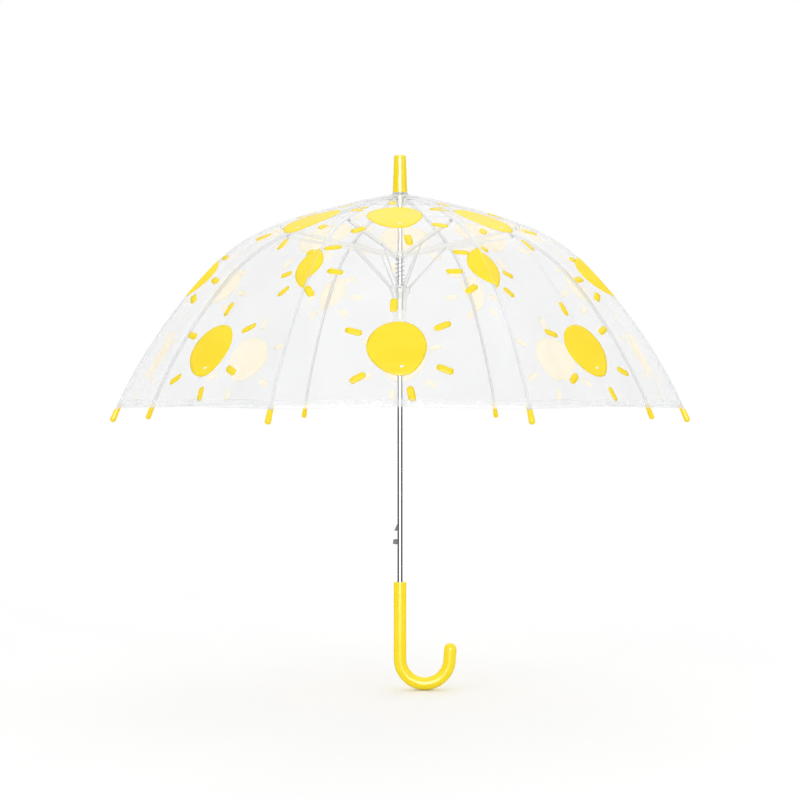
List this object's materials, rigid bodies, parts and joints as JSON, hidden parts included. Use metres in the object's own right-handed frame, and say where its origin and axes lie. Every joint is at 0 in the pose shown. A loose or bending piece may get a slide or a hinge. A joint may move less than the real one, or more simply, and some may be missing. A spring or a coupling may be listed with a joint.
{
  "type": "children's umbrella",
  "caption": "Clear dome stick umbrella for a child, with curved ribs, a two-hub spring-assisted opening linkage, printed suns and a hooked handle.",
  "frame": {"origin": "on the shaft's axis, in the middle of the handle's straight grip", "axes": "+Z along the shaft towards the ferrule, +X towards the handle's hook"},
  "size_m": [0.6774, 0.6774, 0.6683],
  "materials": {
    "chrome_tube": "polished chrome-plated steel tube",
    "yellow_plastic": "glossy solid yellow moulded plastic",
    "milky_plastic": "milky white moulded plastic, slightly translucent",
    "clear_plastic": "clear moulded plastic",
    "zinc_steel": "thin zinc-plated pressed steel",
    "white_painted_steel": "cream white painted pressed steel channel",
    "spring_steel": "dark drawn spring wire",
    "clear_film": "clear soft plastic film printed with yellow suns"
  },
  "bodies": {
    "stick": {"shaft": "chrome_tube", "ferrule": "yellow_plastic", "top_washer": "clear_plastic", "notch": "milky_plastic", "shaft_pins": "zinc_steel", "handle": "yellow_plastic"},
    "catch": {"catch": "zinc_steel"},
    "slider": {"slider": "milky_plastic", "slider_ring": "zinc_steel"},
    "runner": {"runner": "milky_plastic", "runner_pins": "zinc_steel", "spring": "spring_steel"},
    "rib_1": {"rib_inner_1": "zinc_steel"},
    "rib_end_1": {"rib_outer_1": "zinc_steel", "rib_tip_1": "yellow_plastic", "canopy_1": "clear_film"},
    "stretcher_1": {"stretcher_1": "white_painted_steel"},
    "strut_1": {"strut_1": "zinc_steel"},
    "rib_2": {"rib_inner_2": "zinc_steel"},
    "rib_end_2": {"rib_outer_2": "zinc_steel", "rib_tip_2": "yellow_plastic", "canopy_2": "clear_film"},
    "stretcher_2": {"stretcher_2": "white_painted_steel"},
    "strut_2": {"strut_2": "zinc_steel"},
    "rib_3": {"rib_inner_3": "zinc_steel"},
    "rib_end_3": {"rib_outer_3": "zinc_steel", "rib_tip_3": "yellow_plastic", "canopy_3": "clear_film"},
    "stretcher_3": {"stretcher_3": "white_painted_steel"},
    "strut_3": {"strut_3": "zinc_steel"},
    "rib_4": {"rib_inner_4": "zinc_steel"},
    "rib_end_4": {"rib_outer_4": "zinc_steel", "rib_tip_4": "yellow_plastic", "canopy_4": "clear_film"},
    "stretcher_4": {"stretcher_4": "white_painted_steel"},
    "strut_4": {"strut_4": "zinc_steel"},
    "rib_5": {"rib_inner_5": "zinc_steel"},
    "rib_end_5": {"rib_outer_5": "zinc_steel", "rib_tip_5": "yellow_plastic", "canopy_5": "clear_film"},
    "stretcher_5": {"stretcher_5": "white_painted_steel"},
    "strut_5": {"strut_5": "zinc_steel"},
    "rib_6": {"rib_inner_6": "zinc_steel"},
    "rib_end_6": {"rib_outer_6": "zinc_steel", "rib_tip_6": "yellow_plastic", "canopy_6": "clear_film"},
    "stretcher_6": {"stretcher_6": "white_painted_steel"},
    "strut_6": {"strut_6": "zinc_steel"},
    "rib_7": {"rib_inner_7": "zinc_steel"},
    "rib_end_7": {"rib_outer_7": "zinc_steel", "rib_tip_7": "yellow_plastic", "canopy_7": "clear_film"},
    "stretcher_7": {"stretcher_7": "white_painted_steel"},
    "strut_7": {"strut_7": "zinc_steel"},
    "rib_8": {"rib_inner_8": "zinc_steel"},
    "rib_end_8": {"rib_outer_8": "zinc_steel", "rib_tip_8": "yellow_plastic", "canopy_8": "clear_film"},
    "stretcher_8": {"stretcher_8": "white_painted_steel"},
    "strut_8": {"strut_8": "zinc_steel"}
  },
  "joints": [
    {"name": "runner_slide", "type": "slide", "parent": "stick", "child": "runner", "axis": [0, 0, -1], "range_m": [0, 0.20876], "stiffness_N_per_m": 25, "springref_m": -0.25, "deforming": ["spring"]},
    {"name": "slider_slide", "type": "slide", "parent": "stick", "child": "slider", "axis": [0, 0, -1], "range_m": [0, 0.23184]},
    {"name": "catch_press", "type": "hinge", "parent": "stick", "child": "catch", "pos_m": [-0.00185, 0, 0.056], "axis": [0, 1, 0], "range_deg": [0, 3.9], "stiffness_Nm_per_rad": 1, "springref_deg": -1.72},
    {"name": "rib_1_hinge", "type": "hinge", "parent": "stick", "child": "rib_1", "pos_m": [0.00739, 0.00306, 0.5255], "axis": [-0.3827, 0.9239, 0], "range_deg": [0, 72.62]},
    {"name": "rib_1_flex", "type": "hinge", "parent": "rib_1", "child": "rib_end_1", "pos_m": [0.14861, 0.06156, 0.48903], "axis": [-0.3827, 0.9239, 0], "range_deg": [-36.62, 0], "deforming": ["canopy_1"]},
    {"name": "stretcher_1_hinge", "type": "hinge", "parent": "rib_1", "child": "stretcher_1", "pos_m": [0.14322, 0.05932, 0.4848], "axis": [-0.3827, 0.9239, 0], "range_deg": [-149.87, 0]},
    {"name": "strut_1_hinge", "type": "hinge", "parent": "stretcher_1", "child": "strut_1", "pos_m": [0.05726, 0.02372, 0.46645], "axis": [-0.3827, 0.9239, 0], "range_deg": [0, 31.66]},
    {"name": "rib_2_hinge", "type": "hinge", "parent": "stick", "child": "rib_2", "pos_m": [0.00306, 0.00739, 0.5255], "axis": [-0.9239, 0.3827, 0], "range_deg": [0, 72.62]},
    {"name": "rib_2_flex", "type": "hinge", "parent": "rib_2", "child": "rib_end_2", "pos_m": [0.06156, 0.14861, 0.48903], "axis": [-0.9239, 0.3827, 0], "range_deg": [-36.62, 0], "deforming": ["canopy_2"]},
    {"name": "stretcher_2_hinge", "type": "hinge", "parent": "rib_2", "child": "stretcher_2", "pos_m": [0.05932, 0.14322, 0.4848], "axis": [-0.9239, 0.3827, 0], "range_deg": [-149.87, 0]},
    {"name": "strut_2_hinge", "type": "hinge", "parent": "stretcher_2", "child": "strut_2", "pos_m": [0.02372, 0.05726, 0.46645], "axis": [-0.9239, 0.3827, 0], "range_deg": [0, 31.66]},
    {"name": "rib_3_hinge", "type": "hinge", "parent": "stick", "child": "rib_3", "pos_m": [-0.00306, 0.00739, 0.5255], "axis": [-0.9239, -0.3827, 0], "range_deg": [0, 72.62]},
    {"name": "rib_3_flex", "type": "hinge", "parent": "rib_3", "child": "rib_end_3", "pos_m": [-0.06156, 0.14861, 0.48903], "axis": [-0.9239, -0.3827, 0], "range_deg": [-36.62, 0], "deforming": ["canopy_3"]},
    {"name": "stretcher_3_hinge", "type": "hinge", "parent": "rib_3", "child": "stretcher_3", "pos_m": [-0.05932, 0.14322, 0.4848], "axis": [-0.9239, -0.3827, 0], "range_deg": [-149.87, 0]},
    {"name": "strut_3_hinge", "type": "hinge", "parent": "stretcher_3", "child": "strut_3", "pos_m": [-0.02372, 0.05726, 0.46645], "axis": [-0.9239, -0.3827, 0], "range_deg": [0, 31.66]},
    {"name": "rib_4_hinge", "type": "hinge", "parent": "stick", "child": "rib_4", "pos_m": [-0.00739, 0.00306, 0.5255], "axis": [-0.3827, -0.9239, 0], "range_deg": [0, 72.62]},
    {"name": "rib_4_flex", "type": "hinge", "parent": "rib_4", "child": "rib_end_4", "pos_m": [-0.14861, 0.06156, 0.48903], "axis": [-0.3827, -0.9239, 0], "range_deg": [-36.62, 0], "deforming": ["canopy_4"]},
    {"name": "stretcher_4_hinge", "type": "hinge", "parent": "rib_4", "child": "stretcher_4", "pos_m": [-0.14322, 0.05932, 0.4848], "axis": [-0.3827, -0.9239, 0], "range_deg": [-149.87, 0]},
    {"name": "strut_4_hinge", "type": "hinge", "parent": "stretcher_4", "child": "strut_4", "pos_m": [-0.05726, 0.02372, 0.46645], "axis": [-0.3827, -0.9239, 0], "range_deg": [0, 31.66]},
    {"name": "rib_5_hinge", "type": "hinge", "parent": "stick", "child": "rib_5", "pos_m": [-0.00739, -0.00306, 0.5255], "axis": [0.3827, -0.9239, 0], "range_deg": [0, 72.62]},
    {"name": "rib_5_flex", "type": "hinge", "parent": "rib_5", "child": "rib_end_5", "pos_m": [-0.14861, -0.06156, 0.48903], "axis": [0.3827, -0.9239, 0], "range_deg": [-36.62, 0], "deforming": ["canopy_5"]},
    {"name": "stretcher_5_hinge", "type": "hinge", "parent": "rib_5", "child": "stretcher_5", "pos_m": [-0.14322, -0.05932, 0.4848], "axis": [0.3827, -0.9239, 0], "range_deg": [-149.87, 0]},
    {"name": "strut_5_hinge", "type": "hinge", "parent": "stretcher_5", "child": "strut_5", "pos_m": [-0.05726, -0.02372, 0.46645], "axis": [0.3827, -0.9239, 0], "range_deg": [0, 31.66]},
    {"name": "rib_6_hinge", "type": "hinge", "parent": "stick", "child": "rib_6", "pos_m": [-0.00306, -0.00739, 0.5255], "axis": [0.9239, -0.3827, 0], "range_deg": [0, 72.62]},
    {"name": "rib_6_flex", "type": "hinge", "parent": "rib_6", "child": "rib_end_6", "pos_m": [-0.06156, -0.14861, 0.48903], "axis": [0.9239, -0.3827, 0], "range_deg": [-36.62, 0], "deforming": ["canopy_6"]},
    {"name": "stretcher_6_hinge", "type": "hinge", "parent": "rib_6", "child": "stretcher_6", "pos_m": [-0.05932, -0.14322, 0.4848], "axis": [0.9239, -0.3827, 0], "range_deg": [-149.87, 0]},
    {"name": "strut_6_hinge", "type": "hinge", "parent": "stretcher_6", "child": "strut_6", "pos_m": [-0.02372, -0.05726, 0.46645], "axis": [0.9239, -0.3827, 0], "range_deg": [0, 31.66]},
    {"name": "rib_7_hinge", "type": "hinge", "parent": "stick", "child": "rib_7", "pos_m": [0.00306, -0.00739, 0.5255], "axis": [0.9239, 0.3827, 0], "range_deg": [0, 72.62]},
    {"name": "rib_7_flex", "type": "hinge", "parent": "rib_7", "child": "rib_end_7", "pos_m": [0.06156, -0.14861, 0.48903], "axis": [0.9239, 0.3827, 0], "range_deg": [-36.62, 0], "deforming": ["canopy_7"]},
    {"name": "stretcher_7_hinge", "type": "hinge", "parent": "rib_7", "child": "stretcher_7", "pos_m": [0.05932, -0.14322, 0.4848], "axis": [0.9239, 0.3827, 0], "range_deg": [-149.87, 0]},
    {"name": "strut_7_hinge", "type": "hinge", "parent": "stretcher_7", "child": "strut_7", "pos_m": [0.02372, -0.05726, 0.46645], "axis": [0.9239, 0.3827, 0], "range_deg": [0, 31.66]},
    {"name": "rib_8_hinge", "type": "hinge", "parent": "stick", "child": "rib_8", "pos_m": [0.00739, -0.00306, 0.5255], "axis": [0.3827, 0.9239, 0], "range_deg": [0, 72.62]},
    {"name": "rib_8_flex", "type": "hinge", "parent": "rib_8", "child": "rib_end_8", "pos_m": [0.14861, -0.06156, 0.48903], "axis": [0.3827, 0.9239, 0], "range_deg": [-36.62, 0], "deforming": ["canopy_8"]},
    {"name": "stretcher_8_hinge", "type": "hinge", "parent": "rib_8", "child": "stretcher_8", "pos_m": [0.14322, -0.05932, 0.4848], "axis": [0.3827, 0.9239, 0], "range_deg": [-149.87, 0]},
    {"name": "strut_8_hinge", "type": "hinge", "parent": "stretcher_8", "child": "strut_8", "pos_m": [0.05726, -0.02372, 0.46645], "axis": [0.3827, 0.9239, 0], "range_deg": [0, 31.66]}
  ],
  "couplings": [
    {"joint": "slider_slide", "follows": "runner_slide", "ratio": 1.1101},
    {"joint": "rib_1_hinge", "follows": "runner_slide", "rad_per_m": 6.0697},
    {"joint": "rib_1_flex", "follows": "runner_slide", "rad_per_m": -3.0599},
    {"joint": "stretcher_1_hinge", "follows": "runner_slide", "rad_per_m": -12.528},
    {"joint": "strut_1_hinge", "follows": "runner_slide", "rad_per_m": 2.6457},
    {"joint": "rib_2_hinge", "follows": "runner_slide", "rad_per_m": 6.0697},
    {"joint": "rib_2_flex", "follows": "runner_slide", "rad_per_m": -3.0599},
    {"joint": "stretcher_2_hinge", "follows": "runner_slide", "rad_per_m": -12.528},
    {"joint": "strut_2_hinge", "follows": "runner_slide", "rad_per_m": 2.6457},
    {"joint": "rib_3_hinge", "follows": "runner_slide", "rad_per_m": 6.0697},
    {"joint": "rib_3_flex", "follows": "runner_slide", "rad_per_m": -3.0599},
    {"joint": "stretcher_3_hinge", "follows": "runner_slide", "rad_per_m": -12.528},
    {"joint": "strut_3_hinge", "follows": "runner_slide", "rad_per_m": 2.6457},
    {"joint": "rib_4_hinge", "follows": "runner_slide", "rad_per_m": 6.0697},
    {"joint": "rib_4_flex", "follows": "runner_slide", "rad_per_m": -3.0599},
    {"joint": "stretcher_4_hinge", "follows": "runner_slide", "rad_per_m": -12.528},
    {"joint": "strut_4_hinge", "follows": "runner_slide", "rad_per_m": 2.6457},
    {"joint": "rib_5_hinge", "follows": "runner_slide", "rad_per_m": 6.0697},
    {"joint": "rib_5_flex", "follows": "runner_slide", "rad_per_m": -3.0599},
    {"joint": "stretcher_5_hinge", "follows": "runner_slide", "rad_per_m": -12.528},
    {"joint": "strut_5_hinge", "follows": "runner_slide", "rad_per_m": 2.6457},
    {"joint": "rib_6_hinge", "follows": "runner_slide", "rad_per_m": 6.0697},
    {"joint": "rib_6_flex", "follows": "runner_slide", "rad_per_m": -3.0599},
    {"joint": "stretcher_6_hinge", "follows": "runner_slide", "rad_per_m": -12.528},
    {"joint": "strut_6_hinge", "follows": "runner_slide", "rad_per_m": 2.6457},
    {"joint": "rib_7_hinge", "follows": "runner_slide", "rad_per_m": 6.0697},
    {"joint": "rib_7_flex", "follows": "runner_slide", "rad_per_m": -3.0599},
    {"joint": "stretcher_7_hinge", "follows": "runner_slide", "rad_per_m": -12.528},
    {"joint": "strut_7_hinge", "follows": "runner_slide", "rad_per_m": 2.6457},
    {"joint": "rib_8_hinge", "follows": "runner_slide", "rad_per_m": 6.0697},
    {"joint": "rib_8_flex", "follows": "runner_slide", "rad_per_m": -3.0599},
    {"joint": "stretcher_8_hinge", "follows": "runner_slide", "rad_per_m": -12.528},
    {"joint": "strut_8_hinge", "follows": "runner_slide", "rad_per_m": 2.6457}
  ]
}
